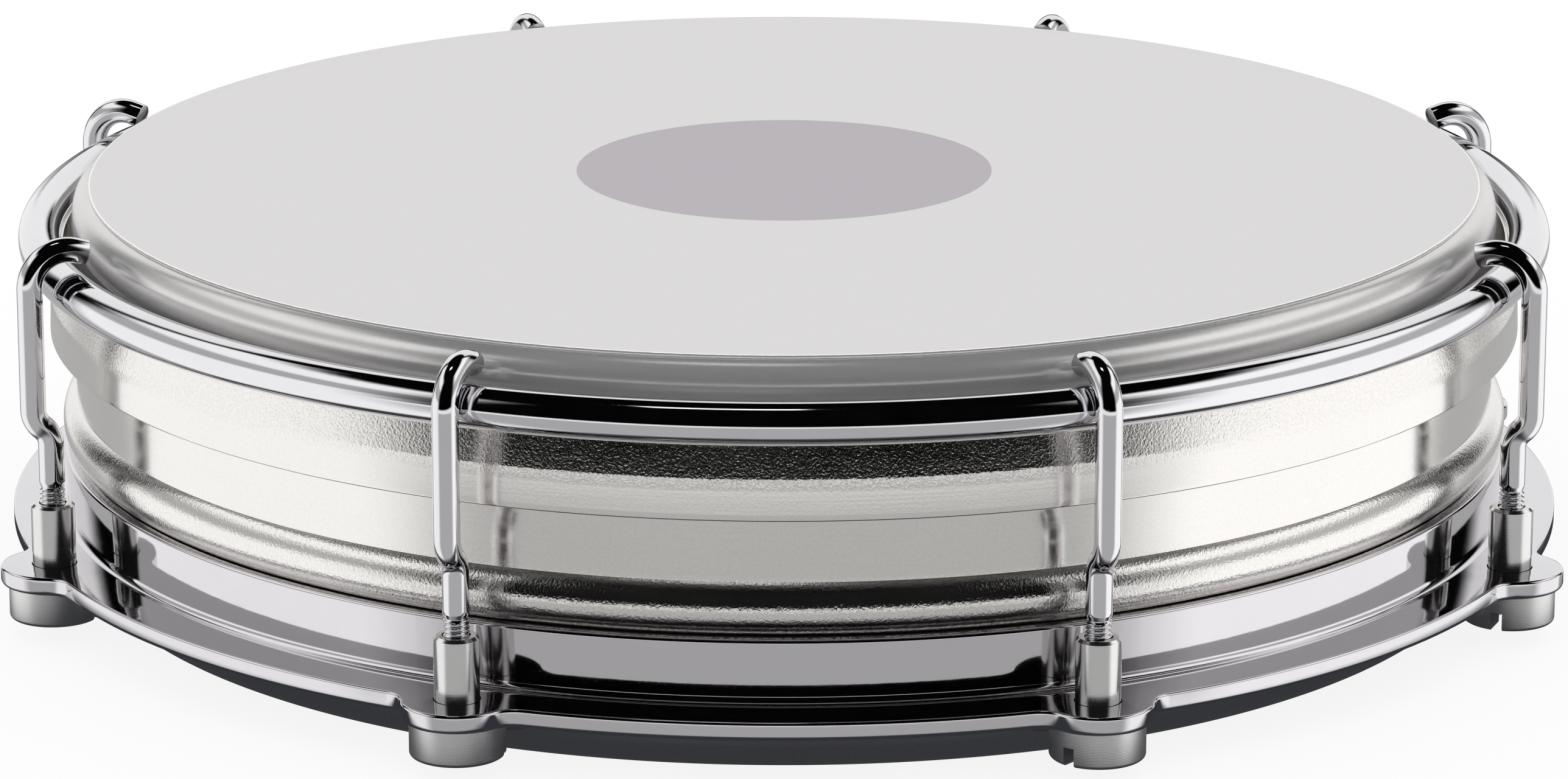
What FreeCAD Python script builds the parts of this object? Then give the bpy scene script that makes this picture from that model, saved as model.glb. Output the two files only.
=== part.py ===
import FreeCAD, Part
import math
import os

# Small frame drum (tamborim), millimetres.
# Origin: middle of the shell's bottom lip. Z is up, towards the playing head.
# A turned-in metal shell stands inside a pressed tuning ring. Eight hooks reach
# over a rod counterhoop and screw into slotted nuts held under the ring's ears.

# Shell
shell_outer_radius = 76.2
shell_wall = 1.2
drum_height = 42.3
crown_radius = 2.6
crown_return = 1.6
lip_radius = 3.0
lip_flat_width = 1.7
bead_bottom_height = 14.2
bead_height = 5.5
bead_depth = 1.5

# Head film
film_thickness = 0.25
film_lift = 0.03
collar_clearance = 0.1
collar_flare = 0.78

# Head hoop, a channel that stands open side up round the shell
channel_clearance = 0.4
channel_width = 2.1
channel_wall = 0.35
channel_bottom_drop = 15.7
channel_inner_height = 4.0
channel_side_height = 4.3
channel_foot_depth = 0.3
channel_foot_height = 0.9
channel_foot_round = 0.2
film_foot_gap = 1.0
resin_gap = 0.05
resin_top_drop = 0.4

# Counterhoop
counterhoop_rod_radius = 2.2
counterhoop_lap = 1.15
counterhoop_rise = 6.0
counterhoop_seat_gap = 0.05

# Tuning ring
ring_clearance = 0.15
ring_wall_top = 1.3
ring_wall_bottom = 1.0
ring_seat_gap = 0.02
ring_rim_radius = 0.35
flange_top_height = 7.6
flange_thickness = 2.0
flange_reach = 7.1
flange_top_round = 0.3
flange_bottom_round = 0.6
ring_corner_fillet = 0.8
ear_radius = 5.6
ear_fillet_radius = 3.0

# Tuning nuts
lug_count = 8
first_lug_angle = 22.5
nut_circle_reach = 6.0
nut_barrel_radius = 2.28
nut_barrel_length = 8.6
nut_head_radius = 4.8
nut_head_height = 3.7
nut_edge_round = 0.45
nut_mouth_chamfer = 0.3
nut_slot_width = 1.25
nut_slot_depth = 2.0
nut_slot_angles = (10.0, 75.0, 140.0, 35.0, 160.0, 172.0, 51.5, 69.0)
ear_hole_clearance = 0.1

# Hooks
hook_rod_radius = 1.34
hook_jog_top_height = 24.4
hook_jog_length = 3.9
hook_side_gap = 0.71
hook_bend_slack = 0.36
hook_bend_angle = 105.0
hook_tip_length = 1.3
hook_top_gap = 0.75
hook_end_height = 6.0
thread_length = 10.5
thread_pitch = 0.5
thread_depth = 0.3
thread_clearance = 0.1

# Heights and radii that follow from the sizes above
film_top = drum_height
crown_top = film_top - film_thickness - film_lift
crown_centre_height = crown_top - crown_radius
crown_centre_radius = shell_outer_radius - crown_radius
channel_bottom = film_top - channel_bottom_drop
channel_inner_radius = shell_outer_radius + channel_clearance
channel_outer_radius = channel_inner_radius + channel_width
channel_inner_top = channel_bottom + channel_inner_height
shoulder_height = channel_bottom + channel_side_height
film_bend_radius = crown_radius + collar_clearance
film_bend_height = film_top - film_thickness - film_bend_radius
film_side_radius = crown_centre_radius + film_bend_radius
film_seat_radius = film_side_radius + collar_flare
film_foot = channel_bottom + channel_wall + film_foot_gap
counterhoop_overhang = counterhoop_rod_radius - counterhoop_lap
counterhoop_radius = channel_outer_radius + counterhoop_overhang
counterhoop_height = shoulder_height + counterhoop_rise
ring_inner_radius = shell_outer_radius + ring_clearance
flange_bottom_height = flange_top_height - flange_thickness
nut_circle_radius = shell_outer_radius + nut_circle_reach
thread_bore_radius = hook_rod_radius + thread_clearance
hook_bend_radius = counterhoop_rod_radius + hook_rod_radius + hook_bend_slack
hook_shank_radius = counterhoop_radius + counterhoop_rod_radius + hook_side_gap + hook_rod_radius
hook_jog = hook_shank_radius - nut_circle_radius


def point(radius, height):
    return FreeCAD.Vector(radius, 0, height)


def line(start, end):
    return Part.makeLine(point(*start), point(*end))


def arc(centre, radius, start_angle, end_angle):
    """Arc edge in the radius-height plane, angles in degrees from the outward direction."""
    middle_angle = (start_angle + end_angle) / 2
    places = []
    for angle in (start_angle, middle_angle, end_angle):
        turn = math.radians(angle)
        places.append(point(centre[0] + radius * math.cos(turn), centre[1] + radius * math.sin(turn)))
    return Part.Arc(*places).toShape()


def spin(edges):
    """Full revolution of a closed outline about the drum's axis."""
    face = Part.Face(Part.Wire(Part.__sortEdges__(edges)))
    return face.revolve(FreeCAD.Vector(0, 0, 0), FreeCAD.Vector(0, 0, 1), 360)


def spin_polygon(places):
    edges = []
    for index, place in enumerate(places):
        edges.append(line(place, places[(index + 1) % len(places)]))
    return spin(edges)


def tube(inner_radius, outer_radius, bottom, top):
    return spin_polygon([(inner_radius, bottom), (outer_radius, bottom), (outer_radius, top), (inner_radius, top)])


def round_edges(shape, radius, wanted):
    """Fillet the edges for which the test function is true."""
    edges = [edge for edge in shape.Edges if wanted(edge)]
    return shape.makeFillet(radius, edges)


def is_ring_edge(edge, radius, height):
    """True for an edge that lies wholly at one radius from the drum's axis and one height."""
    for fraction in (0.1, 0.5, 0.9):
        first, last = edge.ParameterRange
        place = edge.valueAt(first + (last - first) * fraction)
        if abs(math.hypot(place.x, place.y) - radius) > 0.01 or abs(place.z - height) > 0.01:
            return False
    return True


def is_at_height(edge, height):
    box = edge.BoundBox
    return abs(box.ZMin - height) < 0.01 and abs(box.ZMax - height) < 0.01


def shell_skin(offset):
    """Edges of one skin of the rolled sheet; offset is the depth below the outside surface."""
    wall_radius = shell_outer_radius - offset
    half_height = bead_height / 2
    outer_bead_arc = (half_height ** 2 + bead_depth ** 2) / (2 * bead_depth)
    bead_centre = (shell_outer_radius + bead_depth - outer_bead_arc, bead_bottom_height + half_height)
    bead_arc = outer_bead_arc - offset
    half_angle = math.degrees(math.acos((wall_radius - bead_centre[0]) / bead_arc))
    bead_rise = bead_arc * math.sin(math.radians(half_angle))
    lip_inner_end = shell_outer_radius - lip_radius - lip_flat_width
    lip_centre = (shell_outer_radius - lip_radius, lip_radius)
    crown_centre = (crown_centre_radius, crown_centre_height)
    return_radius = crown_centre_radius - crown_radius + offset
    return [
        line((lip_inner_end, offset), (lip_centre[0], offset)),
        arc(lip_centre, lip_radius - offset, -90, 0),
        line((wall_radius, lip_radius), (wall_radius, bead_centre[1] - bead_rise)),
        arc(bead_centre, bead_arc, -half_angle, half_angle),
        line((wall_radius, bead_centre[1] + bead_rise), (wall_radius, crown_centre_height)),
        arc(crown_centre, crown_radius - offset, 0, 180),
        line((return_radius, crown_centre_height), (return_radius, crown_centre_height - crown_return)),
    ]


def make_shell():
    """One rolled sheet: turned-in bottom lip, plain wall, outward bead, rolled crown."""
    lip_inner_end = shell_outer_radius - lip_radius - lip_flat_width
    return_radius = crown_centre_radius - crown_radius
    return_end = crown_centre_height - crown_return
    edges = shell_skin(0) + shell_skin(shell_wall)
    edges.append(line((lip_inner_end, 0), (lip_inner_end, shell_wall)))
    edges.append(line((return_radius, return_end), (return_radius + shell_wall, return_end)))
    return spin(edges)


def collar_skin(depth):
    """Edges of one face of the film; depth is measured below its playing surface."""
    rise = film_thickness - depth
    side_radius = film_side_radius + rise
    seat_radius = film_seat_radius + rise
    bend_centre = (crown_centre_radius, film_bend_height)
    return [
        line((0, film_top - depth), (crown_centre_radius, film_top - depth)),
        arc(bend_centre, film_bend_radius + rise, 0, 90),
        line((side_radius, film_bend_height), (seat_radius, shoulder_height)),
        line((seat_radius, shoulder_height), (seat_radius, film_foot)),
    ]


def make_head_film():
    """Flat plastic film that bends over the crown and runs down into the channel."""
    edges = collar_skin(0) + collar_skin(film_thickness)
    edges.append(line((film_seat_radius, film_foot), (film_seat_radius + film_thickness, film_foot)))
    edges.append(line((0, film_top - film_thickness), (0, film_top)))
    return spin(edges)


def shoulder_tilt():
    """Lean of the channel's top, in radians, that just touches the counterhoop."""
    reach = counterhoop_rod_radius + counterhoop_seat_gap
    span = math.hypot(counterhoop_overhang, counterhoop_rise)
    return math.asin(reach / span) - math.atan2(counterhoop_overhang, counterhoop_rise)


def make_head_hoop():
    """Rolled channel: short inner wall, tall outer wall that leans in, small foot bead."""
    inner = channel_inner_radius
    outer = channel_outer_radius
    wall = channel_wall
    foot_top = channel_bottom + channel_foot_height
    foot_radius = outer + channel_foot_depth
    tilt = shoulder_tilt()
    rise = counterhoop_rise - counterhoop_rod_radius * math.sin(tilt)
    top_height = shoulder_height + rise
    top_radius = outer - rise * math.tan(tilt)
    hoop = spin_polygon([
        (inner, channel_bottom),
        (foot_radius, channel_bottom),
        (foot_radius, foot_top),
        (outer, foot_top),
        (outer, shoulder_height),
        (top_radius, top_height),
        (top_radius - wall, top_height),
        (outer - wall, shoulder_height),
        (outer - wall, channel_bottom + wall),
        (inner + wall, channel_bottom + wall),
        (inner + wall, channel_inner_top),
        (inner, channel_inner_top),
    ])
    hoop = round_edges(hoop, channel_foot_round, lambda edge: is_ring_edge(edge, foot_radius, foot_top))
    return round_edges(hoop, channel_foot_round, lambda edge: is_ring_edge(edge, foot_radius, channel_bottom))


def make_head_resin():
    """Hardened resin that fills the channel and grips the edge of the film."""
    inner = channel_inner_radius + channel_wall
    outer = channel_outer_radius - channel_wall
    bottom = channel_bottom + channel_wall
    top = channel_inner_top - resin_top_drop
    slot_inner = film_seat_radius - resin_gap
    slot_outer = film_seat_radius + film_thickness + resin_gap
    return spin_polygon([
        (inner, bottom),
        (outer, bottom),
        (outer, top),
        (slot_outer, top),
        (slot_outer, film_foot - resin_gap),
        (slot_inner, film_foot - resin_gap),
        (slot_inner, top),
        (inner, top),
    ])


def make_counterhoop():
    """Plain round rod, bent into a ring and butt welded."""
    return Part.makeTorus(counterhoop_radius, counterhoop_rod_radius, FreeCAD.Vector(0, 0, counterhoop_height))


def lug_angle(index):
    return first_lug_angle + index * 360.0 / lug_count


def place_at_lug(shape, index):
    """Turn a shape drawn on the X axis round to its lug."""
    placed = shape.copy()
    placed.rotate(FreeCAD.Vector(0, 0, 0), FreeCAD.Vector(0, 0, 1), lug_angle(index))
    return placed


def make_ear():
    """Plate lobe round one nut, with concave corners running back to the flange edge."""
    flange_radius = shell_outer_radius + flange_reach
    fillet_centre_radius = flange_radius + ear_fillet_radius
    reach = ear_radius + ear_fillet_radius
    turn = (nut_circle_radius ** 2 + fillet_centre_radius ** 2 - reach ** 2)
    angle = math.acos(turn / (2 * nut_circle_radius * fillet_centre_radius))
    centre_x = fillet_centre_radius * math.cos(angle)
    centre_y = fillet_centre_radius * math.sin(angle)
    root_x = flange_radius * math.cos(angle)
    root_y = flange_radius * math.sin(angle)
    share = ear_radius / reach
    neck_x = nut_circle_radius + (centre_x - nut_circle_radius) * share
    neck_y = centre_y * share
    lobe = Part.makeCylinder(ear_radius, flange_thickness, FreeCAD.Vector(nut_circle_radius, 0, flange_bottom_height))
    outline = [(root_x, root_y), (neck_x, neck_y), (neck_x, -neck_y), (root_x, -root_y)]
    inside_x = ring_inner_radius + ring_wall_bottom
    outline += [(inside_x, -root_y), (inside_x, root_y)]
    corners = [FreeCAD.Vector(x, y, flange_bottom_height) for x, y in outline]
    web = Part.Face(Part.makePolygon(corners + corners[:1])).extrude(FreeCAD.Vector(0, 0, flange_thickness))
    for side in (-1, 1):
        centre = FreeCAD.Vector(centre_x, side * centre_y, flange_bottom_height)
        web = web.cut(Part.makeCylinder(ear_fillet_radius, flange_thickness, centre))
    return lobe.fuse(web)


def make_tuning_ring():
    """L-section ring: upright wall under the shell bead, flat flange with eight drilled ears."""
    wall_top = bead_bottom_height - ring_seat_gap
    outer_top = ring_inner_radius + ring_wall_top
    outer_bottom = ring_inner_radius + ring_wall_bottom
    flange_radius = shell_outer_radius + flange_reach
    wall = spin_polygon([
        (ring_inner_radius, flange_bottom_height),
        (outer_bottom, flange_bottom_height),
        (outer_top, wall_top),
        (ring_inner_radius, wall_top),
    ])
    wall = round_edges(wall, ring_rim_radius, lambda edge: is_ring_edge(edge, outer_top, wall_top))
    plate = tube(ring_inner_radius, flange_radius, flange_bottom_height, flange_top_height)
    for index in range(lug_count):
        plate = plate.fuse(place_at_lug(make_ear(), index))
    plate = plate.removeSplitter()
    plate = round_edges(plate, flange_bottom_round, lambda edge: is_rim_edge(edge, flange_bottom_height))
    plate = round_edges(plate, flange_top_round, lambda edge: is_rim_edge(edge, flange_top_height))
    ring = wall.fuse(plate).removeSplitter()
    rise = (flange_top_height - flange_bottom_height) / (wall_top - flange_bottom_height)
    corner = outer_bottom + (outer_top - outer_bottom) * rise
    ring = round_edges(ring, ring_corner_fillet, lambda edge: is_ring_edge(edge, corner, flange_top_height))
    hole = Part.makeCylinder(
        nut_barrel_radius + ear_hole_clearance,
        flange_thickness,
        FreeCAD.Vector(nut_circle_radius, 0, flange_bottom_height),
    )
    for index in range(lug_count):
        ring = ring.cut(place_at_lug(hole, index))
    return ring


def is_rim_edge(edge, height):
    """True for an edge of the flange's outer outline at one height."""
    if not is_at_height(edge, height):
        return False
    first, last = edge.ParameterRange
    middle = edge.valueAt((first + last) / 2)
    return math.hypot(middle.x, middle.y) > shell_outer_radius + flange_reach - 0.05


def make_nut(slot_angle):
    """Slotted round nut: head under the ear, long threaded barrel up through it."""
    centre = FreeCAD.Vector(nut_circle_radius, 0, 0)
    head_bottom = flange_bottom_height - nut_head_height
    barrel_top = flange_bottom_height + nut_barrel_length
    head = Part.makeCylinder(nut_head_radius, nut_head_height, centre + FreeCAD.Vector(0, 0, head_bottom))
    head = round_edges(head, nut_edge_round, lambda edge: is_at_height(edge, head_bottom))
    length = nut_barrel_length
    barrel = Part.makeCylinder(nut_barrel_radius, length, centre + FreeCAD.Vector(0, 0, flange_bottom_height))
    barrel = barrel.makeChamfer(nut_mouth_chamfer, [e for e in barrel.Edges if is_at_height(e, barrel_top)])
    nut = head.fuse(barrel)
    bore_length = nut_head_height + nut_barrel_length
    nut = nut.cut(Part.makeCylinder(thread_bore_radius, bore_length, centre + FreeCAD.Vector(0, 0, head_bottom)))
    slot = Part.makeBox(4 * nut_head_radius, nut_slot_width, nut_slot_depth)
    slot.translate(FreeCAD.Vector(-2 * nut_head_radius, -nut_slot_width / 2, head_bottom))
    slot.rotate(FreeCAD.Vector(0, 0, 0), FreeCAD.Vector(0, 0, 1), slot_angle)
    slot.translate(centre)
    return nut.cut(slot)


def make_thread():
    """Threaded end of a hook: a run of ridges whose crests are the rod's own size."""
    core = hook_rod_radius - thread_depth
    places = [(0, hook_end_height), (core, hook_end_height)]
    ridge_count = int(round(thread_length / thread_pitch))
    for index in range(ridge_count):
        ridge = hook_end_height + (index + 0.5) * thread_pitch
        places.append((hook_rod_radius, ridge))
        places.append((core, ridge + thread_pitch / 2))
    top = hook_end_height + ridge_count * thread_pitch
    run_out = top + thread_depth
    places.append((hook_rod_radius, run_out))
    places.append((0, run_out))
    thread = spin_polygon(places)
    thread.translate(FreeCAD.Vector(nut_circle_radius, 0, 0))
    return thread, run_out


def hook_path(start_height):
    """Centre line of the bent rod, from the end of the thread up and over the counterhoop."""
    top_line = counterhoop_height + counterhoop_rod_radius + hook_top_gap + hook_rod_radius
    bend_height = top_line - hook_bend_radius
    upper = hook_shank_radius
    jog_turn = 2 * math.degrees(math.atan(hook_jog / hook_jog_length))
    jog_radius = hook_jog_length / (2 * math.sin(math.radians(jog_turn)))
    jog_bottom = hook_jog_top_height - hook_jog_length
    centre = (upper - hook_bend_radius, bend_height)
    end_turn = math.radians(hook_bend_angle)
    bend_end = (centre[0] + hook_bend_radius * math.cos(end_turn), centre[1] + hook_bend_radius * math.sin(end_turn))
    run = (-math.sin(end_turn) * hook_tip_length, math.cos(end_turn) * hook_tip_length)
    tip = (bend_end[0] + run[0], bend_end[1] + run[1])
    return Part.Wire([
        line((nut_circle_radius, start_height), (nut_circle_radius, jog_bottom)),
        arc((nut_circle_radius + jog_radius, jog_bottom), jog_radius, 180, 180 - jog_turn),
        arc((upper - jog_radius, hook_jog_top_height), jog_radius, -jog_turn, 0),
        line((upper, hook_jog_top_height), (upper, bend_height)),
        arc(centre, hook_bend_radius, 0, hook_bend_angle),
        line(bend_end, tip),
    ])


def make_hook():
    """Bent rod: threaded foot, small outward jog, straight shank, hooked top with a cut end."""
    thread, start_height = make_thread()
    start = point(nut_circle_radius, start_height)
    circle = Part.Wire(Part.makeCircle(hook_rod_radius, start, FreeCAD.Vector(0, 0, 1)))
    rod = hook_path(start_height).makePipeShell([circle], True, False)
    return thread.fuse(rod).removeSplitter()


def save(name, shape):
    if not shape.isValid():
        raise ValueError(name + " is not a valid shape")
    solids = shape.Solids
    if len(solids) != 1:
        raise ValueError(name + " is not one solid")
    solids[0].exportStep(os.path.join("parts", name + ".step"))


def build():
    os.makedirs("parts", exist_ok=True)
    save("shell", make_shell())
    save("tuning_ring", make_tuning_ring())
    save("head_film", make_head_film())
    save("head_hoop", make_head_hoop())
    save("head_resin", make_head_resin())
    save("counterhoop", make_counterhoop())
    hook = make_hook()
    for index in range(lug_count):
        number = str(index + 1)
        save("hook_" + number, place_at_lug(hook, index))
        slot_angle = nut_slot_angles[index % len(nut_slot_angles)] - lug_angle(index)
        save("tuning_nut_" + number, place_at_lug(make_nut(slot_angle), index))


build()
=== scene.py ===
import math
import bmesh
import bpy
from mathutils import Matrix, Vector


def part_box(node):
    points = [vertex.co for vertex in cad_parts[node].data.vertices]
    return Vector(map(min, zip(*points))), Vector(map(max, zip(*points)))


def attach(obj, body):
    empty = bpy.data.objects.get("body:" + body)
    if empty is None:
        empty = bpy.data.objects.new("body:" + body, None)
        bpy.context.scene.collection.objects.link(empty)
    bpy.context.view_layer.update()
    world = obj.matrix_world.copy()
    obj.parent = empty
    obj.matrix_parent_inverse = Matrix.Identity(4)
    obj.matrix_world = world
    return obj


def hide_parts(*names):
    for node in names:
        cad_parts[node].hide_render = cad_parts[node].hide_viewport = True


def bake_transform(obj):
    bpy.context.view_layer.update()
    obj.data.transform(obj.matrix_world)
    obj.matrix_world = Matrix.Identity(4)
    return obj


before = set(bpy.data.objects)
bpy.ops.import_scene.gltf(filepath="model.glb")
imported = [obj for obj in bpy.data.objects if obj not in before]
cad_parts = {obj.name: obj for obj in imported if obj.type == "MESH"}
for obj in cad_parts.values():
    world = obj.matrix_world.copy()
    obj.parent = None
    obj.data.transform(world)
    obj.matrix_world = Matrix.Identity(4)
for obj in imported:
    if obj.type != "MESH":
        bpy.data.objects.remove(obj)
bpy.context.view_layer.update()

# The shell: one strip of aluminium rolled into a short cylinder and butt welded.
# Its top is rolled over into a round crown that carries the head, a bead is pressed
# outwards above the tuning ring, and the bottom edge is turned in flat.
mm = 0.001
shell_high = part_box("shell")[1]
drum_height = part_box("head_film")[1][2]
shell_wall = 1.2 * mm
crown_radius = 2.6 * mm
crown_return = 1.6 * mm
crown_top = shell_high[2]
lip_radius = 3.0 * mm
lip_flat = 1.7 * mm
bead_depth = 1.5 * mm
bead_middle = 16.95 * mm
bead_half_height = 2.75 * mm
shell_radius = shell_high[0] - bead_depth
turn_steps = 384
sharp_edge = 32.0
aluminium = (0.83, 0.81, 0.785)
aluminium_dark = (0.75, 0.73, 0.70)
along_roll = (0.02, 0.02, 1.0)
sand_size = 0.26 * mm
sand_depth = 0.03 * mm
roll_line_size = 0.3 * mm
cloud_size = 9 * mm
lip_turn_heights = (2.0 * mm, 3.4 * mm)
crown_draw_heights = (37.5 * mm, 39.0 * mm)


def outline_of(corners, largest_step=6.0):
    """Outline in radius and height; a corner's third number is the radius it is rounded to."""
    places = []
    count = len(corners)
    for index, corner in enumerate(corners):
        here = Vector(corner[:2])
        if len(corner) == 2:
            places.append(here)
            continue
        before = (Vector(corners[index - 1][:2]) - here).normalized()
        after = (Vector(corners[(index + 1) % count][:2]) - here).normalized()
        half = before.angle(after) / 2
        centre = here + (before + after).normalized() * (corner[2] / math.sin(half))
        spoke = here + before * (corner[2] / math.tan(half)) - centre
        sweep = math.pi - 2 * half
        if before.x * after.y - before.y * after.x > 0:
            sweep = -sweep
        steps = max(3, math.ceil(math.degrees(abs(sweep)) / largest_step))
        for step in range(steps + 1):
            places.append(centre + Matrix.Rotation(sweep * step / steps, 2) @ spoke)
    kept = [places[0]]
    for place in places[1:]:
        if (place - kept[-1]).length > 1e-7:
            kept.append(place)
    return kept


def arc_of(centre, radius, start_deg, end_deg, steps):
    """Points on an arc in radius and height, angles from the outward direction."""
    places = []
    for step in range(steps + 1):
        angle = math.radians(start_deg + (end_deg - start_deg) * step / steps)
        places.append((centre[0] + radius * math.cos(angle), centre[1] + radius * math.sin(angle)))
    return places


def new_piece(name, places, faces, sharp_deg=sharp_edge):
    """A named mesh object with outward normals, smooth but for its sharp edges."""
    mesh = bpy.data.meshes.new(name)
    mesh.from_pydata(places, [], faces)
    tidy = bmesh.new()
    tidy.from_mesh(mesh)
    bmesh.ops.recalc_face_normals(tidy, faces=tidy.faces)
    tidy.to_mesh(mesh)
    tidy.free()
    mesh.shade_smooth()
    mesh.set_sharp_from_angle(angle=math.radians(sharp_deg))
    piece = bpy.data.objects.new(name, mesh)
    bpy.context.scene.collection.objects.link(piece)
    return piece


def joined(rings, closed=True):
    """Faces from each ring of vertex numbers to the next, and from the last to the first."""
    faces = []
    for index in range(len(rings) if closed else len(rings) - 1):
        ring = rings[index]
        after = rings[(index + 1) % len(rings)]
        if ring[0] == ring[1] and after[0] == after[1]:
            continue
        for step in range(len(ring)):
            turn = (step + 1) % len(ring)
            corners = [ring[step], ring[turn], after[turn], after[step]]
            faces.append(tuple(dict.fromkeys(corners)))
    return faces


def spun(name, outline, steps=turn_steps):
    """A closed outline spun about the Z axis; a point on the axis becomes one vertex."""
    places = []
    rings = []
    for radius, height in outline:
        start = len(places)
        if radius < 1e-9:
            places.append((0, 0, height))
            rings.append([start] * steps)
            continue
        for step in range(steps):
            angle = 2 * math.pi * step / steps
            places.append((radius * math.cos(angle), radius * math.sin(angle), height))
        rings.append(list(range(start, start + steps)))
    return new_piece(name, places, joined(rings))


class Wire:
    """A socket that can be used in sums; its node method makes any other node."""

    def __init__(self, tree, socket=None):
        self.tree = tree
        self.socket = socket

    def fill(self, made, inputs):
        for name, value in inputs.items():
            if isinstance(value, Wire):
                self.tree.links.new(value.socket, made.inputs[name])
            else:
                made.inputs[name].default_value = value

    def node(self, kind, settings=None, inputs=None, output=0):
        made = self.tree.nodes.new(kind)
        for name, value in (settings or {}).items():
            setattr(made, name, value)
        self.fill(made, inputs or {})
        return Wire(self.tree, made.outputs[output])

    def maths(self, operation, *values):
        return self.node("ShaderNodeMath", {"operation": operation}, dict(enumerate(values)))

    def __add__(self, other):
        return self.maths("ADD", self, other)

    def __sub__(self, other):
        return self.maths("SUBTRACT", self, other)

    def __rsub__(self, other):
        return self.maths("SUBTRACT", other, self)

    def __mul__(self, other):
        return self.maths("MULTIPLY", self, other)

    __radd__ = __add__
    __rmul__ = __mul__

    def ramp(self, low, high):
        """0 below low, 1 above high, smooth between."""
        settings = {"interpolation_type": "SMOOTHSTEP"}
        return self.node("ShaderNodeMapRange", settings, {0: self, 1: low, 2: high})

    def tint(self, first, second):
        """The first colour where this is 0, the second where it is 1."""
        colours = []
        for colour in (first, second):
            colours.append(colour if isinstance(colour, Wire) else (*colour, 1.0))
        inputs = {0: self, 6: colours[0], 7: colours[1]}
        return self.node("ShaderNodeMix", {"data_type": "RGBA"}, inputs, 2)

    def grain(self, size, detail=2.0, roughness=0.5, stretch=None):
        """Noise with features of about this size in metres, on object coordinates."""
        where = self.node("ShaderNodeTexCoord", output=3)
        if stretch:
            scaled = {"operation": "MULTIPLY"}
            where = self.node("ShaderNodeVectorMath", scaled, {0: where, 1: stretch})
        inputs = {"Vector": where, "Scale": 1 / size, "Detail": detail, "Roughness": roughness}
        return self.node("ShaderNodeTexNoise", inputs=inputs)

    def axes(self):
        """The x, y and z parts of a vector."""
        parts = []
        for axis in range(3):
            parts.append(self.node("ShaderNodeSeparateXYZ", inputs={0: self}, output=axis))
        return parts

    def place(self):
        """Radius from the Z axis and height, both in metres."""
        x, y, z = self.node("ShaderNodeTexCoord", output=3).axes()
        return self.maths("SQRT", x * x + y * y), z

    def bump(self, height, depth):
        return self.node("ShaderNodeBump", inputs={"Height": height, "Distance": depth})


def new_material(name):
    """A material, a Wire to start its nodes from, and its shader."""
    material = bpy.data.materials.new(name)
    material.use_nodes = True
    return material, Wire(material.node_tree), material.node_tree.nodes["Principled BSDF"]


def satin_metal(name, light, dark, rolled_from, rolled_to):
    """Satin sheet with faint lines along the roll and a sandy grain where it was formed."""
    material, start, shader = new_material(name)
    height = start.place()[1]
    sand = start.grain(sand_size, 2.0, 0.55)
    lines = start.grain(roll_line_size, 3.0, 0.55, along_roll)
    cloud = start.grain(cloud_size, 3.0, 0.5)
    formed = height.ramp(rolled_from - 0.5 * mm, rolled_from + 0.5 * mm)
    formed = formed * (1 - height.ramp(rolled_to - 0.6 * mm, rolled_to + 0.6 * mm))
    turned = 1 - height.ramp(*lip_turn_heights)
    formed = start.maths("MAXIMUM", formed, turned)
    drawn = height.ramp(*crown_draw_heights)
    colour = (sand.ramp(0.35, 0.7) * (0.35 + 0.5 * formed) + 0.2 * cloud).tint(light, dark)
    roughness = 0.06 + 0.08 * cloud + 0.08 * lines + 0.1 * drawn
    relief = sand * (0.1 + formed) + 0.08 * lines
    start.fill(shader, {
        "Base Color": colour,
        "Metallic": 1.0,
        "Roughness": roughness,
        "Normal": start.bump(relief, sand_depth),
    })
    return material


bead_arc = (bead_half_height ** 2 + bead_depth ** 2) / (2 * bead_depth)
bead_centre = (shell_radius + bead_depth - bead_arc, bead_middle)
lip_end = shell_radius - lip_radius - lip_flat
return_outer = shell_radius - 2 * crown_radius
return_end = crown_top - crown_radius - crown_return
bead_skins = []
for skin in (0.0, shell_wall):
    reach = bead_arc - skin
    half_angle = math.degrees(math.acos((shell_radius - skin - bead_centre[0]) / reach))
    bead_skins.append(arc_of(bead_centre, reach, -half_angle, half_angle, 24))
shell_outline = outline_of(
    [(lip_end, 0.0), (shell_radius, 0.0, lip_radius)]
    + bead_skins[0]
    + [
        (shell_radius, crown_top, crown_radius),
        (return_outer, crown_top, crown_radius),
        (return_outer, return_end),
        (return_outer + shell_wall, return_end),
        (return_outer + shell_wall, crown_top - shell_wall, crown_radius - shell_wall),
        (shell_radius - shell_wall, crown_top - shell_wall, crown_radius - shell_wall),
    ]
    + bead_skins[1][::-1]
    + [(shell_radius - shell_wall, shell_wall, lip_radius - shell_wall), (lip_end, shell_wall)]
)
shell = spun("rolled_shell", shell_outline)
bead_low = bead_middle - bead_half_height
bead_high = bead_middle + bead_half_height
shell_metal = satin_metal("satin_shell", aluminium, aluminium_dark, bead_low, bead_high)
shell.data.materials.append(shell_metal)
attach(shell, "shell")
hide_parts("shell")

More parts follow.
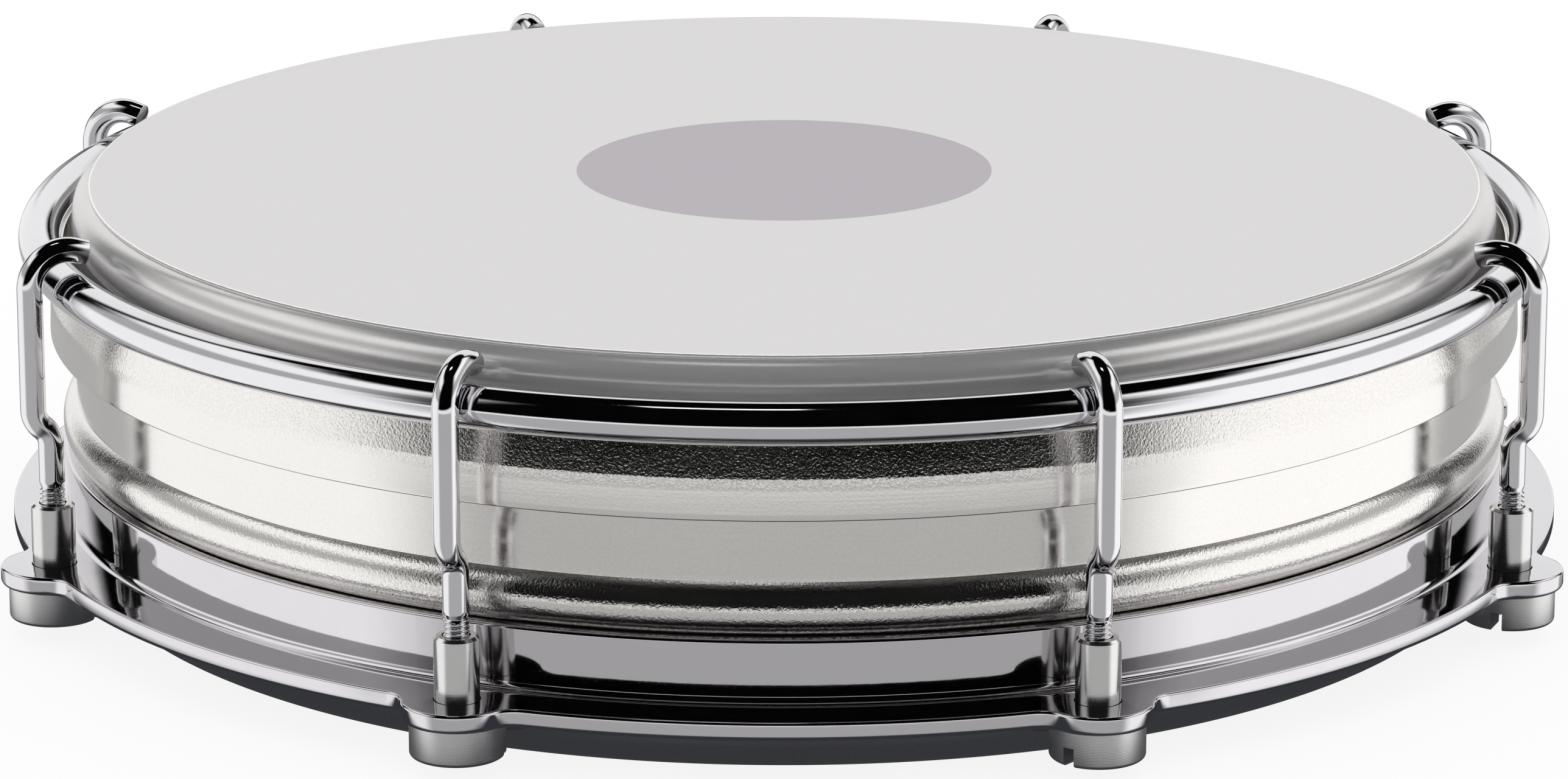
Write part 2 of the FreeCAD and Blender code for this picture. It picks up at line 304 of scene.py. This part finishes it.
# The tuning ring: steel pressed to an L section and chrome plated. Its wall pushes up
# under the shell's bead; its flange has eight drilled ears that the nuts pull on.
ring_low, ring_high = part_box("tuning_ring")
ring_inner = shell_radius + 0.15 * mm
ring_wall_top = ring_inner + 1.3 * mm
ring_wall_foot = ring_inner + 1.0 * mm
ring_rim_round = 0.35 * mm
flange_low = ring_low[2]
flange_high = flange_low + 2.0 * mm
flange_radius = ring_high[0]
flange_top_round = 0.3 * mm
flange_low_round = 0.6 * mm
ring_corner = 0.8 * mm
ear_radius = 5.6 * mm
ear_fillet = 3.0 * mm
lug_count = 8
first_lug = 22.5
nut_circle = shell_radius + 6.0 * mm
barrel_radius = 2.28 * mm
ear_hole_radius = barrel_radius + 0.1 * mm
chrome_ring = (0.69, 0.675, 0.69)
chrome_ring_dark = (0.65, 0.635, 0.655)
haze_size = 3.5 * mm
ripple_size = 2.2 * mm
ripple_depth = 0.004 * mm
pit_size = 0.25 * mm


def lug_turn(index):
    """How far round the Z axis a lug stands, in radians."""
    return math.radians(first_lug + 360.0 * index / lug_count)


def lug_place(index):
    """The middle of an ear's hole, on the plane that the drum stands on."""
    turn = lug_turn(index)
    return (nut_circle * math.cos(turn), nut_circle * math.sin(turn), 0)


def flange_edge():
    """The flange's outer edge in plan: (x, y, outward x, outward y), once round."""
    fillet_circle = flange_radius + ear_fillet
    reach = ear_radius + ear_fillet
    squares = nut_circle ** 2 + fillet_circle ** 2 - reach ** 2
    root = math.acos(squares / (2 * nut_circle * fillet_circle))
    corner = Vector((fillet_circle * math.cos(root), fillet_circle * math.sin(root)))
    to_ear = (Vector((nut_circle, 0)) - corner).normalized()
    neck_turn = math.atan2(-to_ear.y, -to_ear.x)
    to_drum = -corner.normalized()
    bend = to_ear.angle(to_drum)
    if to_ear.x * to_drum.y < to_ear.y * to_drum.x:
        bend = -bend
    half = []
    lobe_steps = 28
    for step in range(lobe_steps + 1):
        angle = neck_turn * step / lobe_steps
        out = Vector((math.cos(angle), math.sin(angle)))
        half.append((Vector((nut_circle, 0)) + out * ear_radius, out))
    fillet_steps = 10
    for step in range(1, fillet_steps + 1):
        spoke = Matrix.Rotation(bend * step / fillet_steps, 2) @ to_ear
        half.append((corner + spoke * ear_fillet, -spoke))
    rim_steps = 12
    rest = math.pi / lug_count - root
    for step in range(1, rim_steps + 1):
        angle = root + rest * step / rim_steps
        out = Vector((math.cos(angle), math.sin(angle)))
        half.append((out * flange_radius, out))
    lobe = []
    for place, out in half[:0:-1]:
        lobe.append((Vector((place.x, -place.y)), Vector((out.x, -out.y))))
    lobe += half
    edge = []
    for index in range(lug_count):
        turn = Matrix.Rotation(lug_turn(index), 2)
        for place, out in lobe[:-1]:
            edge.append((turn @ place, turn @ out))
    return edge


def ring_mesh(name):
    """The wall is spun; the flange's section is carried round its lobed edge."""
    taper = (ring_wall_top - ring_wall_foot) / (ring_high[2] - flange_low)
    wall = outline_of([
        (ring_inner, flange_low),
        (ring_inner, ring_high[2]),
        (ring_wall_top, ring_high[2], ring_rim_round),
        (ring_wall_foot + taper * (flange_high - flange_low), flange_high, ring_corner),
        (flange_radius, flange_high),
    ])
    rim = arc_of((-flange_top_round, flange_high - flange_top_round), flange_top_round, 90, 0, 6)
    rim += arc_of((-flange_low_round, flange_low + flange_low_round), flange_low_round, 0, -90, 8)
    edge = flange_edge()
    count = len(edge)
    places = []
    for radius, height in wall[:-1]:
        places += [(*(place.normalized() * radius), height) for place, out in edge]
    for outset, height in rim:
        places += [(*(place + out * outset), height) for place, out in edge]
    rings = [list(range(start, start + count)) for start in range(0, len(places), count)]
    return new_piece(name, places, joined(rings))


def rod_between(low, high, radius, steps=48):
    """A plain round tool for drilling, on the Z axis."""
    return spun("drill", [(0, low), (radius, low), (radius, high), (0, high)], steps)


def cut_with(piece, tools):
    """Cuts the tools out of the piece for good and removes them."""
    for tool in tools:
        step = piece.modifiers.new("cut", "BOOLEAN")
        step.object = tool
        step.operation = "DIFFERENCE"
        step.solver = "EXACT"
    bpy.context.view_layer.update()
    seen = piece.evaluated_get(bpy.context.evaluated_depsgraph_get())
    mesh = bpy.data.meshes.new_from_object(seen)
    piece.modifiers.clear()
    piece.data = mesh
    for tool in tools:
        bpy.data.objects.remove(tool)
    mesh.shade_smooth()
    mesh.set_sharp_from_angle(angle=math.radians(sharp_edge))


def bright_chrome(name, light, dark, roughness):
    """Polished plate: a mirror with faint polishing haze and a very slight ripple."""
    material, start, shader = new_material(name)
    haze = start.grain(haze_size, 4.0, 0.6)
    ripple = start.grain(ripple_size, 2.0, 0.5)
    pits = start.grain(pit_size, 2.0, 0.5).ramp(0.66, 0.74)
    start.fill(shader, {
        "Base Color": (0.8 * haze + 0.25 * pits).tint(light, dark),
        "Metallic": 1.0,
        "Roughness": roughness + 0.05 * haze + 0.08 * pits,
        "Normal": start.bump(ripple, ripple_depth),
    })
    return material


ring = ring_mesh("tuning_flange")
drills = []
for index in range(lug_count):
    drill = rod_between(flange_low - mm, flange_high + mm, ear_hole_radius)
    drill.location = lug_place(index)
    drills.append(drill)
cut_with(ring, drills)
ring.data.materials.append(bright_chrome("ring_plate", chrome_ring, chrome_ring_dark, 0.03))
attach(ring, "shell")
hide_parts("tuning_ring")

# The head: clear polyester film 0.25 mm thick, heat formed over the crown, its edge set
# in the hoop. A matt white coat covers the flat, with a plain grey disc in the middle.
film = 0.25 * mm
film_bend = 2.7 * mm
film_bend_centre = (shell_radius - crown_radius, drum_height - film - film_bend)
film_flare = 0.78 * mm
film_seat = film_bend_centre[0] + film_bend + film_flare
film_shoulder = 30.9 * mm
film_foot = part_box("head_film")[0][2]
coat_edge = 74.4 * mm
disc_edge = 22.4 * mm
flat_rings = (0.0, 8 * mm, disc_edge, 45 * mm, 66 * mm, 71 * mm)
coat_white = (0.745, 0.73, 0.737)
coat_shade = (0.72, 0.705, 0.713)
painted_rim_highlight = (0.97, 0.965, 0.93)
disc_grey = (0.49, 0.458, 0.49)
clear_film = (0.86, 0.87, 0.88)


def film_skin(depth):
    """One face of the film, from the axis outwards and down; depth is below the top face."""
    rise = film - depth
    skin = []
    for radius in flat_rings:
        skin.append((radius, drum_height - depth))
    skin += arc_of(film_bend_centre, film_bend + rise, 90, 0, 24)
    skin.append((film_seat + rise, film_shoulder))
    skin.append((film_seat + rise, film_foot))
    return skin


def head_material():
    material, start, shader = new_material("coated_film")
    radius, height = start.place()
    mottle = start.grain(2.4 * mm, 4.0, 0.6)
    tooth = start.grain(0.12 * mm, 2.0, 0.5)
    uneven = start.grain(0.5 * mm, 2.0, 0.5) * 0.12 * mm
    coat = 1 - (radius + uneven).ramp(coat_edge, coat_edge + 0.1 * mm)
    disc = 1 - (radius + uneven).ramp(disc_edge - 0.1 * mm, disc_edge)
    white = (mottle * 0.5 + tooth * 0.4).tint(coat_white, coat_shade)
    # Painted highlight: a thin ring just inside the coat's edge is coloured near white, standing
    # in for the bright line of light along the rim.
    rim = radius.ramp(coat_edge - 0.22 * mm, coat_edge - 0.12 * mm)
    painted = disc.tint(rim.tint(white, painted_rim_highlight), disc_grey)
    start.fill(shader, {
        "Base Color": coat.tint(clear_film, painted),
        "Roughness": 0.09 + coat * (0.46 + 0.08 * tooth),
        "Alpha": 0.11 + 0.89 * coat,
        "Specular IOR Level": 0.3,
        "Normal": start.bump(tooth * coat, 0.006 * mm),
    })
    return material


head = spun("head_skin", outline_of(film_skin(0.0) + film_skin(film)[::-1]))
head.data.materials.append(head_material())
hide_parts("head_film")
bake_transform(head)

# The head's own hoop: a light aluminium channel rolled round the shell. Its outer wall
# leans in over the film, and the counterhoop rests on the top of that wall.
hoop_low, hoop_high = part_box("head_hoop")
channel_wall = 0.35 * mm
channel_inner = shell_radius + 0.4 * mm
channel_outer = channel_inner + 2.1 * mm
channel_floor = hoop_low[2]
channel_inner_top = channel_floor + 4.0 * mm
channel_top = hoop_high[2]
channel_lean = 11.75
lean_rise = channel_top - film_shoulder
channel_top_radius = channel_outer - lean_rise * math.tan(math.radians(channel_lean))
lean_bend = 1.2 * mm
foot_height = 0.7 * mm
foot_flare = 0.12 * mm
foot_round = 0.28 * mm
foot_blend = 2.0 * mm
edge_round = 0.08 * mm
channel = spun("head_channel", outline_of([
    (channel_inner, channel_floor, edge_round),
    (channel_outer + foot_flare, channel_floor, foot_round),
    (channel_outer + foot_flare, channel_floor + foot_height, foot_blend),
    (channel_outer, film_shoulder, lean_bend),
    (channel_top_radius, channel_top, edge_round),
    (channel_top_radius - channel_wall, channel_top, edge_round),
    (channel_outer - channel_wall, film_shoulder, lean_bend - channel_wall),
    (channel_outer - channel_wall, channel_floor + channel_wall),
    (channel_inner + channel_wall, channel_floor + channel_wall),
    (channel_inner + channel_wall, channel_inner_top, edge_round),
    (channel_inner, channel_inner_top, edge_round),
]))
lean_low = film_shoulder - 0.8 * mm
channel_metal = satin_metal("satin_channel", aluminium, aluminium_dark, lean_low, channel_top)
channel.data.materials.append(channel_metal)
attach(channel, "hoops")
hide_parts("head_hoop")

# The resin: poured into the channel round the film's edge and cured hard. Here it stands
# just clear of the film, which leaves room for the head's small rise.
resin_low, resin_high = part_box("head_resin")
resin_gap = 0.05 * mm
resin_pale = (0.80, 0.74, 0.60)
resin_deep = (0.62, 0.54, 0.38)
resin = spun("channel_resin", outline_of([
    (channel_inner + channel_wall, resin_low[2]),
    (channel_outer - channel_wall, resin_low[2]),
    (channel_outer - channel_wall, resin_high[2]),
    (film_seat + film + resin_gap, resin_high[2]),
    (film_seat + film + resin_gap, film_foot - resin_gap),
    (film_seat - resin_gap, film_foot - resin_gap),
    (film_seat - resin_gap, resin_high[2]),
    (channel_inner + channel_wall, resin_high[2]),
]))


def resin_material():
    material, start, shader = new_material("cast_resin")
    flow = start.grain(1.5 * mm, 4.0, 0.6)
    start.fill(shader, {
        "Base Color": flow.ramp(0.35, 0.7).tint(resin_pale, resin_deep),
        "Roughness": 0.25 + 0.2 * flow,
        "Normal": start.bump(flow, 0.05 * mm),
    })
    return material


resin.data.materials.append(resin_material())
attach(resin, "hoops")
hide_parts("head_resin")

# The counterhoop: round steel rod bent to a ring, butt welded, ground and chrome plated.
# It rests on the channel's leaning wall and the hooks pull it down.
counter_low, counter_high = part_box("counterhoop")
counter_rod = (counter_high[2] - counter_low[2]) / 2
counter_height = (counter_high[2] + counter_low[2]) / 2
counter_radius = counter_high[0] - counter_rod
chrome_rod = (0.76, 0.75, 0.77)
chrome_rod_dark = (0.71, 0.70, 0.72)
counter_outline = arc_of((counter_radius, counter_height), counter_rod, 0, 360, 48)[:-1]
counterhoop = spun("rod_counterhoop", outline_of(counter_outline))
counterhoop.data.materials.append(bright_chrome("rod_plate", chrome_rod, chrome_rod_dark, 0.03))
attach(counterhoop, "hoops")
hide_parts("counterhoop")

# Eight hooks: steel rod threaded at the foot, set outwards by a small jog, bent over the
# counterhoop and cut off flat, then chrome plated.
hook_rod = 1.34 * mm
shank_radius = counter_radius + counter_rod + 0.71 * mm + hook_rod
hook_bend = counter_rod + hook_rod + 0.36 * mm
hook_top = counter_height + counter_rod + 0.75 * mm + hook_rod
bend_height = hook_top - hook_bend
bend_angle = 105.0
tip_length = 1.3 * mm
jog_top = 24.4 * mm
jog_length = 3.9 * mm
hook_foot = 6.0 * mm
thread_top = hook_foot + 10.5 * mm
thread_pitch = 0.5 * mm
thread_depth = 0.3 * mm
crest_fullness = 1.25
thread_rings_each = 10
thread_lead_in = 0.6 * mm
thread_run_out = 0.8 * mm
cut_round = 0.12 * mm
rod_steps = 40


def bent(centre, radius, start_deg, end_deg, steps):
    """An arc of centre line: (radius, height, angle of travel in degrees from outward)."""
    quarter = math.copysign(90.0, end_deg - start_deg)
    line = []
    for step, place in enumerate(arc_of(centre, radius, start_deg, end_deg, steps)):
        line.append((*place, start_deg + (end_deg - start_deg) * step / steps + quarter))
    return line


def hook_line():
    """Centre line above the thread, in the form that bent gives."""
    jog = shank_radius - nut_circle
    jog_turn = 2 * math.degrees(math.atan(jog / jog_length))
    jog_arc = jog_length / (2 * math.sin(math.radians(jog_turn)))
    jog_foot = jog_top - jog_length
    line = [(nut_circle, thread_top + thread_depth, 90.0), (nut_circle, jog_foot - mm, 90.0)]
    line += bent((nut_circle + jog_arc, jog_foot), jog_arc, 180, 180 - jog_turn, 12)
    line += bent((shank_radius - jog_arc, jog_top), jog_arc, -jog_turn, 0, 12)
    line += bent((shank_radius - hook_bend, bend_height), hook_bend, 0, bend_angle, 42)
    radius, height, angle = line[-1]
    way = math.radians(angle)
    tip = (radius + tip_length * math.cos(way), height + tip_length * math.sin(way), angle)
    kept = [line[0]]
    for entry in line[1:] + [tip]:
        if math.hypot(entry[0] - kept[-1][0], entry[1] - kept[-1][1]) > 1e-6:
            kept.append(entry)
    return kept


def thread_rings():
    """Rings up the right-hand helical thread, which runs out into the plain rod."""
    rings = []
    core = hook_rod - thread_depth
    count = round((thread_top - hook_foot) / thread_pitch) * thread_rings_each
    for index in range(count + 1):
        height = hook_foot + (thread_top - hook_foot) * index / count
        above = thread_top - height
        fade = min(1.0, (height - hook_foot) / thread_lead_in, above / thread_run_out + 0.02)
        ring = []
        for step in range(rod_steps):
            phase = (height / thread_pitch - step / rod_steps) % 1.0
            ridge = min(1.0, crest_fullness * (1 - abs(2 * phase - 1)))
            radius = core + thread_depth * ridge * fade
            if above < thread_run_out:
                radius = max(radius, hook_rod - thread_depth * above / thread_run_out)
            angle = 2 * math.pi * step / rod_steps
            out = nut_circle + radius * math.cos(angle)
            ring.append((out, radius * math.sin(angle), height))
        rings.append(ring)
    return rings


def rod_rings():
    """Rings along the bent centre line, drawn in round the edge of the cut tip."""
    line = hook_line()
    sections = [(entry, hook_rod) for entry in line[:-1]]
    radius, height, angle = line[-1]
    way = Vector((math.cos(math.radians(angle)), math.sin(math.radians(angle))))
    for step in range(5):
        turn = math.radians(22.5 * step)
        place = Vector((radius, height)) - way * cut_round * (1 - math.sin(turn))
        size = hook_rod - cut_round * (1 - math.cos(turn))
        sections.append(((place.x, place.y, angle), size))
    rings = []
    for (radius, height, angle), size in sections:
        across = math.radians(angle - 90)
        ring = []
        for step in range(rod_steps):
            turn = 2 * math.pi * step / rod_steps
            out = size * math.cos(turn)
            x = radius + out * math.cos(across)
            ring.append((x, size * math.sin(turn), height + out * math.sin(across)))
        rings.append(ring)
    return rings


def hook_mesh():
    """The thread and the bent rod as one skin, closed at both ends."""
    places = [place for ring in thread_rings() + rod_rings() for place in ring]
    starts = range(0, len(places), rod_steps)
    rings = [tuple(range(start, start + rod_steps)) for start in starts]
    return places, [rings[0]] + joined(rings, closed=False) + [rings[-1]]


hook_plate = bright_chrome("hook_plate", chrome_rod, chrome_rod_dark, 0.035)
first_hook = new_piece("hook_rod_1", *hook_mesh(), sharp_deg=50.0)
first_hook.data.materials.append(hook_plate)
for index in range(lug_count):
    number = str(index + 1)
    hook = first_hook
    if index:
        hook = bpy.data.objects.new("hook_rod_" + number, first_hook.data)
        bpy.context.scene.collection.objects.link(hook)
    hook.rotation_euler = (0, 0, lug_turn(index))
    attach(hook, "hook_" + number)
    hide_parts("hook_" + number)

# Eight tuning nuts: turned steel, plated. A long threaded barrel stands up through the
# ear round the hook's thread, and the round head below has a screwdriver slot.
nut_low, nut_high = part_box("tuning_nut_1")
nut_head = 4.8 * mm
nut_bore = hook_rod + 0.1 * mm
nut_edge = 0.45 * mm
head_corner = 0.12 * mm
mouth_chamfer = 0.3 * mm
slot_width = 1.25 * mm
slot_depth = 2.0 * mm
slot_angles = (10.0, 75.0, 140.0, 35.0, 160.0, 172.0, 51.5, 69.0)
turning_pitch = 0.16 * mm
nut_satin = (0.76, 0.755, 0.75)
nut_satin_dark = (0.66, 0.655, 0.65)


def nut_material():
    """Fine turning rings and a satin plate on the head, brighter on the barrel."""
    material, start, shader = new_material("nut_plate")
    height = start.place()[1]
    rings = start.maths("SINE", height * (2 * math.pi / turning_pitch))
    faint = start.grain(0.2 * mm, 3.0, 0.6)
    cloud = start.grain(2.5 * mm, 3.0, 0.5)
    barrel = height.ramp(flange_low - 0.05 * mm, flange_low + 0.05 * mm)
    start.fill(shader, {
        "Base Color": (0.5 * cloud + 0.35 * faint).tint(nut_satin, nut_satin_dark),
        "Metallic": 1.0,
        "Roughness": (0.3 + 0.14 * faint) - 0.2 * barrel,
        "Normal": start.bump((rings + 2.0 * faint) * (1 - 0.8 * barrel), 0.002 * mm),
    })
    return material


def bar_between(name, low, high):
    """A plain bar between two corners, for cutting a slot."""
    across, along, up = zip(low, high)
    places = [(x, y, z) for x in across for y in along for z in up]
    faces = [(0, 1, 3, 2), (4, 6, 7, 5), (0, 4, 5, 1), (2, 3, 7, 6), (0, 2, 6, 4), (1, 5, 7, 3)]
    return new_piece(name, places, faces)


first_nut = spun("slotted_nut_1", outline_of([
    (nut_bore, nut_low[2]),
    (nut_head, nut_low[2], nut_edge),
    (nut_head, flange_low, head_corner),
    (barrel_radius, flange_low),
    (barrel_radius, nut_high[2] - mouth_chamfer),
    (barrel_radius - mouth_chamfer, nut_high[2]),
    (nut_bore, nut_high[2]),
]), steps=96)
slot_bar = bar_between(
    "slot_bar",
    (-2 * nut_head, -slot_width / 2, nut_low[2] - mm),
    (2 * nut_head, slot_width / 2, nut_low[2] + slot_depth),
)
cut_with(first_nut, [slot_bar])
first_nut.data.materials.append(nut_material())
for index in range(lug_count):
    number = str(index + 1)
    nut = first_nut
    if index:
        nut = bpy.data.objects.new("slotted_nut_" + number, first_nut.data)
        bpy.context.scene.collection.objects.link(nut)
    nut.location = lug_place(index)
    nut.rotation_euler = (0, 0, math.radians(slot_angles[index]))
    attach(nut, "nut_" + number)
    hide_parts("tuning_nut_" + number)

# The studio floor: plain, pale and matt, with the drum's soft shadow on it. In metal it shows a
# painted shadow, a dark bluish glowing round patch under the drum, and beyond that the room shows
# through.
floor_size = 4.0
under_drum = 89 * mm
past_drum = 98 * mm
painted_shadow_blue = (0.8, 0.84, 1.0, 1.0)
painted_shadow_light = 0.055
shadow_share = 0.12
pure_white = (1.0, 1.0, 1.0, 1.0)
floor_corners = [(-1, -1), (1, -1), (1, 1), (-1, 1)]
floor_mesh = bpy.data.meshes.new("studio_floor")
floor_mesh.from_pydata(
    [(x * floor_size, y * floor_size, 0) for x, y in floor_corners], [], [(0, 1, 2, 3)]
)
floor = bpy.data.objects.new("studio_floor", floor_mesh)
bpy.context.scene.collection.objects.link(floor)
floor_material, ground, floor_shader = new_material("pale_floor")
ground.fill(floor_shader, {"Base Color": pure_white, "Roughness": 1.0, "Specular IOR Level": 0.0})
matt = Wire(floor_material.node_tree, floor_shader.outputs[0])
white = ground.node("ShaderNodeEmission", inputs={"Color": pure_white, "Strength": 1.0})
camera_ray = ground.node("ShaderNodeLightPath", output=0)
plain = ground.node(
    "ShaderNodeMixShader", inputs={0: camera_ray * (1 - shadow_share), 1: matt, 2: white}
)
clear = ground.node("ShaderNodeBsdfTransparent")
# Painted shadow: the dark emission that glossy rays see on the floor under the drum stands in for
# its contact shadow.
dark = ground.node(
    "ShaderNodeEmission", inputs={"Color": painted_shadow_blue, "Strength": painted_shadow_light}
)
painted_shadow_patch = 1 - ground.place()[0].ramp(under_drum, past_drum)
in_metal = ground.node("ShaderNodeMixShader", inputs={0: painted_shadow_patch, 1: clear, 2: dark})
glossy_ray = ground.node("ShaderNodeLightPath", output=3)
surface = ground.node("ShaderNodeMixShader", inputs={0: glossy_ray, 1: plain, 2: in_metal})
ground.fill(floor_material.node_tree.nodes["Material Output"], {"Surface": surface})
floor_mesh.materials.append(floor_material)

# The studio light: even and white all round. Metal mirrors a room with a pale floor, a
# soft box at each side, a bright wall behind, a lamp strip overhead and dark above.
plain_level = 1.0
floor_front = 0.5
floor_behind = 0.48
left_box = 1.12
right_box = 1.22
box_dip = 0.55
horizon_dip = 0.45
lamp_level = 1.5
# Bearings in degrees, from 0 straight in front of the drum to 180 straight behind it.
box_front_edge = (46, 70)
box_rear_edge = (122, 132)
upper_box_rear_edge = (128, 138)
wall_edge = (138, 148)
straight_behind = (164, 172)
# Heights in degrees above level.
floor_line = (-13, -10)
horizon_line = (-6, -2)
dip_foot = (5, 13)
dip_top = (26, 34)
upper_box_foot = (22, 28)
box_top = (46, 56)
wall_foot = (7, 12)
wall_top = (41, 46)
# The lamp strip: degrees up from the front and over, and how far it runs to each side.
lamp_front = (85, 88)
lamp_rear = (92, 95)
lamp_left = (-0.20, -0.17)
lamp_right = (0.01, 0.04)


def degrees_of(first, second):
    return first.maths("DEGREES", first.maths("ARCTAN2", first, second))


studio = bpy.data.worlds.new("studio")
bpy.context.scene.world = studio
studio.use_nodes = True
air = Wire(studio.node_tree)
along_x, along_y, along_z = air.node("ShaderNodeTexCoord", output=0).axes()
level = air.maths("SQRT", along_x * along_x + along_y * along_y)
to_front = 0 - along_y
bearing = degrees_of(air.maths("ABSOLUTE", along_x), to_front)
height = degrees_of(along_z, level)
over = degrees_of(along_z, to_front)
box = left_box + (right_box - left_box) * along_x.ramp(-0.05, 0.05)
beside = bearing.ramp(*box_front_edge)
behind = bearing.ramp(*box_rear_edge)
far = bearing.ramp(*straight_behind)
side = beside * (1 - behind)
pale_floor = floor_front + side * (box - floor_front) - behind * (floor_front - floor_behind)
horizon = (1 - height.ramp(*horizon_line)) * (1 - far) * (1 - horizon_dip * behind)
upper_side = beside * (1 - bearing.ramp(*upper_box_rear_edge)) * height.ramp(*upper_box_foot)
dip = height.ramp(*dip_foot) * (1 - height.ramp(*dip_top))
soft_box = air.maths("MAXIMUM", side, upper_side) * (1 - box_dip * dip)
soft_box = soft_box * (1 - height.ramp(*box_top)) * box
back_wall = bearing.ramp(*wall_edge) * (1 - height.ramp(*wall_top))
back_wall = back_wall * (1 - far * (1 - height.ramp(*wall_foot)))
lamp = over.ramp(*lamp_front) * (1 - over.ramp(*lamp_rear))
lamp = lamp * along_x.ramp(*lamp_left) * (1 - along_x.ramp(*lamp_right))
low_lights = air.maths("MAXIMUM", horizon, soft_box)
high_lights = air.maths("MAXIMUM", back_wall, lamp_level * lamp)
upper = air.maths("MAXIMUM", low_lights, high_lights)
below = 1 - height.ramp(*floor_line)
mirrored = below * pale_floor + (1 - below) * upper
glossy = air.node("ShaderNodeLightPath", output=3)
seen = air.node("ShaderNodeLightPath", output=0)
strength = glossy * mirrored + (1 - glossy) * plain_level
strength = seen + (1 - seen) * strength
air.fill(studio.node_tree.nodes["Background"], {"Color": pure_white, "Strength": strength})

# The camera: a long lens three quarters of a metre away in front of the drum, 18 cm
# above its head and looking down by about 16 degrees.
camera = bpy.data.objects.new("camera", bpy.data.cameras.new("camera"))
bpy.context.scene.collection.objects.link(camera)
bpy.context.scene.camera = camera
camera.data.lens = 157.7
camera.data.sensor_width = 36
camera.location = (0.00618, -0.71617, drum_height + 0.1787)
camera.rotation_euler = (math.radians(74.15), 0, math.radians(0.495))
bpy.context.scene.view_settings.view_transform = "Standard"
